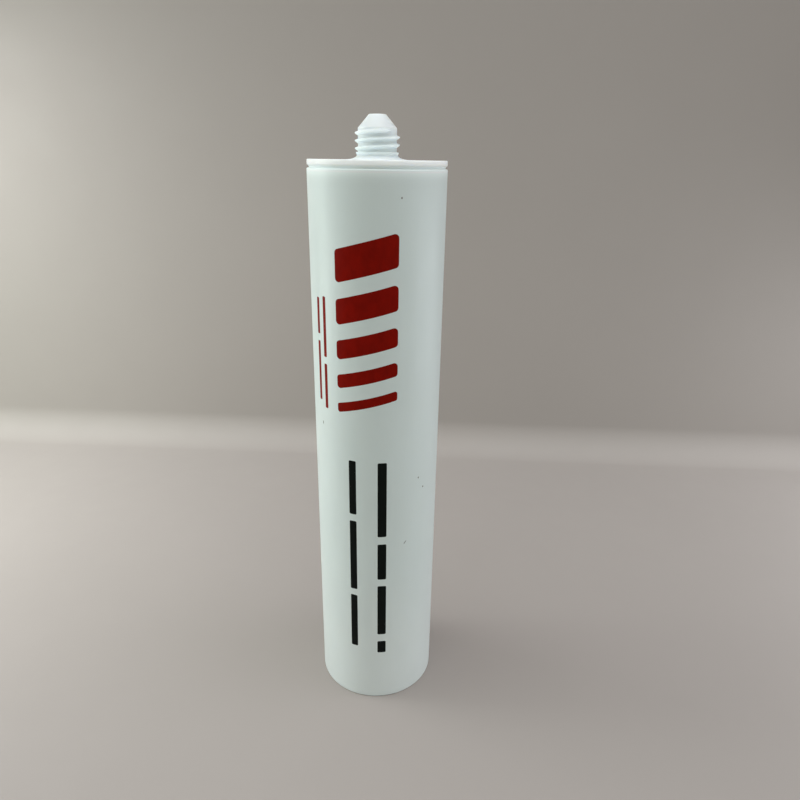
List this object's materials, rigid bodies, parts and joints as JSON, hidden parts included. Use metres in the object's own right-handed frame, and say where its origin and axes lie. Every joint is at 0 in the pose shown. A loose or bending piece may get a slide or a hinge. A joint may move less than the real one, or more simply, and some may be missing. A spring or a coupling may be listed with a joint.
{
  "type": "caulk tube",
  "caption": "Round white plastic sealant cartridge for a dispensing gun: thin-walled barrel with a grooved end disc, a threaded neck with a closed conical tip, and a sliding piston inside.",
  "frame": {"origin": "centre of the barrel's rear rim, on the barrel's axis, where the tube stands", "axes": "+Z along the barrel's axis from the rear rim to the closed tip; -Y is the side that faces the viewer; +X to the viewer's right"},
  "size_m": [0.049, 0.049, 0.2334],
  "materials": {
    "barrel_plastic": "satin",
    "piston_plastic": "satin",
    "sealant_paste": "satin"
  },
  "bodies": {
    "cartridge": {"barrel": "barrel_plastic", "sealant": "sealant_paste"},
    "piston": {"piston": "piston_plastic"}
  },
  "joints": [
    {"name": "piston_slide", "type": "slide", "parent": "cartridge", "child": "piston", "axis": [0, 0, 1], "range_m": [0, 0.1847], "deforming": ["sealant"]}
  ]
}
